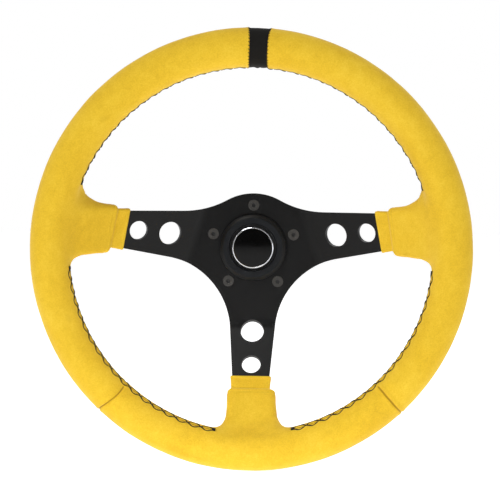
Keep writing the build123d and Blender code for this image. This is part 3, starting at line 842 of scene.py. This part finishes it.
def thread_finish(name):
    f = Finish(name, (0.006, 0.006, 0.006), roughness=0.6, Specular_IOR_Level=0.25, Sheen_Weight=0.05)
    twist = f.node("ShaderNodeTexWave", wave_type="BANDS", bands_direction="DIAGONAL")
    twist.inputs["Scale"].default_value = 420.0
    twist.inputs["Distortion"].default_value = 1.5
    f.link(f.place, twist.inputs["Vector"])
    fuzz = f.noise(0.35, 2.0)
    f.colour(f.mix(twist.outputs["Fac"], (0.002, 0.002, 0.002), (0.007, 0.0065, 0.006)))
    f.roughness(f.span(fuzz, 0.3, 0.7, 0.5, 0.8))
    f.bump((twist.outputs["Fac"], 0.12), (fuzz, 0.04))
    return f.material


def coated_finish(name, dark, light, rough, bevel, grain=0.6, specular=0.5, sockets=False):
    """Anodised or oxided metal: an even coat over a fine blasted grain. Sockets get painted shade and oil
    inside.
    """
    f = Finish(name, dark, roughness=rough, Specular_IOR_Level=specular)
    cloud = f.noise(30.0, 3.0, 0.6)
    fine = f.noise(grain, 2.0, 0.6)
    wear = f.noise(4.0, 4.0, 0.7)
    shade = f.mix(f.span(cloud, 0.3, 0.7, 0.0, 1.0), dark, light)
    shade = f.mix(f.span(wear, 0.62, 0.75, 0.0, 0.35), shade, tuple(2.2 * c for c in light))
    if sockets:
        # painted shade and oil: everything deeper than the screw heads' face is painted near black
        split = f.node("ShaderNodeSeparateXYZ")
        f.link(f.place, split.inputs[0])
        depth = f.span(split.outputs[1], (HUB_FACE + 0.2) * MM, (HUB_FACE + 1.0) * MM, 0.0, 0.95)
        shade = f.mix(depth, shade, (0.0006, 0.0006, 0.0006))
    f.colour(shade)
    patches = f.span(cloud, 0.3, 0.7, rough - 0.05, rough + 0.05)
    f.roughness(f.maths("ADD", patches, f.span(fine, 0.3, 0.7, -0.04, 0.04)))
    f.bump((fine, 0.012), (f.noise(12.0, 2.0), 0.04), bevel=bevel)
    return f.material


def metal_finish(name, dark, light, rough, bevel, turned_marks=0.0, patches=0.04):
    """Bare or plated metal. Turned parts get fine rings about the wheel's axis."""
    f = Finish(name, light, metallic=1.0, roughness=rough)
    cloud = f.noise(9.0, 3.0, 0.6)
    f.colour(f.mix(f.span(cloud, 0.3, 0.7, 0.0, 1.0), dark, light))
    f.roughness(f.span(cloud, 0.3, 0.7, rough - patches, rough + patches))
    layers = [(f.noise(0.5, 2.0, 0.6), 0.006)]
    if turned_marks:
        split = f.node("ShaderNodeSeparateXYZ")
        f.link(f.place, split.inputs[0])
        squares = [f.maths("MULTIPLY", split.outputs[k], split.outputs[k]) for k in (0, 2)]
        radius = f.maths("SQRT", f.maths("ADD", *squares), 0.0)
        along = f.maths("ADD", radius, split.outputs[1])
        join = f.node("ShaderNodeCombineXYZ")
        f.link(along, join.inputs[0])
        rings = f.node("ShaderNodeTexNoise")
        rings.inputs["Scale"].default_value = 2600.0
        rings.inputs["Detail"].default_value = 2.0
        f.link(join.outputs[0], rings.inputs["Vector"])
        layers.append((rings.outputs["Fac"], turned_marks))
    f.bump(*layers, bevel=bevel)
    return f.material


def plastic_finish(name, colour, rough, grain=0.02, specular=0.5):
    f = Finish(name, colour, roughness=rough, Specular_IOR_Level=specular)
    cloud = f.noise(14.0, 3.0, 0.6)
    fine = f.noise(0.7, 2.0, 0.6)
    f.colour(f.mix(f.span(cloud, 0.3, 0.7, 0.0, 1.0), colour, tuple(1.5 * c for c in colour)))
    f.roughness(f.span(cloud, 0.3, 0.7, max(rough - 0.03, 0.02), rough + 0.05))
    f.bump((fine, grain))
    return f.material


FINISHES = {
    # the fourth colour of each suede is the painted shade and dirt of its seams and folds
    "yellow_suede": suede_finish("yellow suede", (0.64, 0.385, 0.018), (0.78, 0.50, 0.028),
                                 (0.87, 0.60, 0.055), (0.30, 0.15, 0.006), 0.34, (1.0, 0.90, 0.55)),
    "black_suede": suede_finish("black suede", (0.007, 0.006, 0.005), (0.010, 0.009, 0.0075),
                                (0.018, 0.016, 0.014), (0.002, 0.002, 0.002), 0.05, (1.0, 0.95, 0.9)),
    "black_thread": thread_finish("waxed black thread"),
    "foam": plastic_finish("grip foam", (0.05, 0.05, 0.05), 0.9, grain=0.2),
    "black_anodised": coated_finish("black anodised", (0.0020, 0.0020, 0.0022),
                                    (0.0030, 0.0030, 0.0033), 0.40, 0.45, specular=0.20),
    "black_ring": coated_finish("ring anodised", (0.0040, 0.0050, 0.0068),
                                (0.0062, 0.0074, 0.0094), 0.38, 0.5, specular=0.20),
    # parts in this finish get painted shade and oil in their sockets
    "black_steel": coated_finish("oxided steel", (0.017, 0.015, 0.013),
                                 (0.027, 0.024, 0.020), 0.42, 0.2, 0.3, 0.6, sockets=True),
    "black_plastic": plastic_finish("moulded plastic", (0.014, 0.014, 0.015), 0.55, grain=0.03),
    "gloss_black": plastic_finish("gloss face", (0.0015, 0.0015, 0.0015), 0.10, grain=0.001,
                                  specular=0.16),
    "chrome": metal_finish("chrome", (0.58, 0.59, 0.62), (0.72, 0.73, 0.76), 0.10, 0.15, patches=0.03),
    "brass": metal_finish("brass", (0.60, 0.42, 0.16), (0.78, 0.58, 0.26), 0.30, 0.1),
    "spring_steel": metal_finish("spring steel", (0.40, 0.40, 0.42), (0.60, 0.60, 0.62), 0.28, 0.1),
    "ball_steel": metal_finish("ball steel", (0.72, 0.72, 0.74), (0.84, 0.84, 0.86), 0.10, 0.1,
                               patches=0.02),
    "bare_aluminium": metal_finish("turned aluminium", (0.62, 0.63, 0.65), (0.76, 0.77, 0.79),
                                   0.30, 0.3, 0.012),
    "boss_steel": metal_finish("turned steel", (0.40, 0.40, 0.41), (0.55, 0.55, 0.56), 0.32, 0.3, 0.012),
    "ring_steel": metal_finish("bare ring steel", (0.34, 0.33, 0.32), (0.48, 0.47, 0.46), 0.40, 0.3),
}
for cad in nodes.values():
    for slot in cad.material_slots:
        name = slot.material.name.split(".")[0]
        slot.material = FINISHES[name]
for made in list(pieces.values()) + springs:
    made.data.materials.append(FINISHES[made["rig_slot"]])


# ---- camera ----
CAMERA_DISTANCE = 1.1095        # metres
azimuth, elevation, roll = math.radians(2.59), math.radians(2.56), math.radians(0.59)
back = Vector((math.sin(azimuth) * math.cos(elevation), -math.cos(azimuth) * math.cos(elevation),
               math.sin(elevation)))
right = Vector((math.cos(azimuth), math.sin(azimuth), 0))
above = back.cross(right)
right, above = (right * math.cos(roll) + above * math.sin(roll),
                above * math.cos(roll) - right * math.sin(roll))
camera = bpy.data.objects.new("camera", bpy.data.cameras.new("camera"))
bpy.context.scene.collection.objects.link(camera)
turn = Matrix((right, above, back)).transposed().to_4x4()
camera.matrix_world = Matrix.Translation(Vector((0, RIM_MIDDLE * MM, 0)) + back * CAMERA_DISTANCE) @ turn
camera.data.lens = 101.4
camera.data.sensor_width = 36
camera.data.shift_x, camera.data.shift_y = 0.0, 0.001
bpy.context.scene.camera = camera


# ---- light and floor ----
def area_light(name, place, target, size, power, colour=(1, 1, 1)):
    data = bpy.data.lights.new(name, "AREA")
    data.shape = "DISK"
    data.size = size
    data.energy = power
    data.color = colour
    made = bpy.data.objects.new(name, data)
    bpy.context.scene.collection.objects.link(made)
    made.location = place
    made.rotation_mode = "QUATERNION"
    made.rotation_quaternion = (Vector(target) - Vector(place)).to_track_quat("-Z", "Y")
    made.visible_camera = False
    return made


wheel_centre = (0, RIM_MIDDLE * MM, 0)
area_light("key", (-0.7, -1.2, 1.8), wheel_centre, 1.1, 24.0)
area_light("fill", (0.9, -1.2, -0.1), wheel_centre, 0.9, 4.0)
low = area_light("low", (-0.5, -1.35, 0.25), (0, RIM_MIDDLE * MM, -0.19), 0.25, 0.08)
low.data.spread = math.radians(18)
area_light("rim", (0.6, 1.3, 1.3), wheel_centre, 1.0, 5.0)

world = bpy.data.worlds.new("studio")
bpy.context.scene.world = world
world.use_nodes = True
tree = world.node_tree
sky = tree.nodes["Background"]
direction = tree.nodes.new("ShaderNodeTexCoord")
split = tree.nodes.new("ShaderNodeSeparateXYZ")
tree.links.new(direction.outputs["Generated"], split.inputs[0])
away = tree.nodes.new("ShaderNodeMapRange")            # more light from behind the wheel
away.interpolation_type = "SMOOTHSTEP"
set_range(away, -0.90, 0.50, 0.08, 0.80)
tree.links.new(split.outputs["Y"], away.inputs["Value"])
dimmer = tree.nodes.new("ShaderNodeMapRange")          # and less of it from above
set_range(dimmer, 0.0, 0.8, 1.0, 0.6)
tree.links.new(split.outputs["Z"], dimmer.inputs["Value"])
dimmed = tree.nodes.new("ShaderNodeMath")
dimmed.operation = "MULTIPLY"
tree.links.new(away.outputs["Result"], dimmed.inputs[0])
tree.links.new(dimmer.outputs["Result"], dimmed.inputs[1])
path = tree.nodes.new("ShaderNodeLightPath")          # the studio's backdrop is white on every side
seen = tree.nodes.new("ShaderNodeMath")
seen.operation = "MAXIMUM"
tree.links.new(dimmed.outputs[0], seen.inputs[0])
tree.links.new(path.outputs["Is Camera Ray"], seen.inputs[1])
tree.links.new(seen.outputs[0], sky.inputs["Strength"])
sky.inputs["Color"].default_value = (1, 1, 1, 1)

FLOOR_HALF, FLOOR_GAP = 6.0, 0.012     # metres
floor_mesh = bpy.data.meshes.new("floor")
bm = bmesh.new()
bmesh.ops.create_grid(bm, x_segments=8, y_segments=8, size=FLOOR_HALF)
bm.to_mesh(floor_mesh)
bm.free()
floor = bpy.data.objects.new("floor", floor_mesh)
bpy.context.scene.collection.objects.link(floor)
floor.location = (0, 0, cad_box[0].z - FLOOR_GAP)
pale = Finish("floor white", (0.9, 0.9, 0.9), roughness=0.8, Specular_IOR_Level=0.1)
clouds = pale.span(pale.noise(400.0, 2.0), 0.3, 0.7, 0.0, 1.0)
pale.colour(pale.mix(clouds, (0.90, 0.90, 0.90), (0.93, 0.93, 0.93)))
pale.set("Emission Color", (1, 1, 1, 1))
pale.set("Emission Strength", 0.66)
floor.data.materials.append(pale.material)

bpy.context.scene.view_settings.view_transform = "Standard"
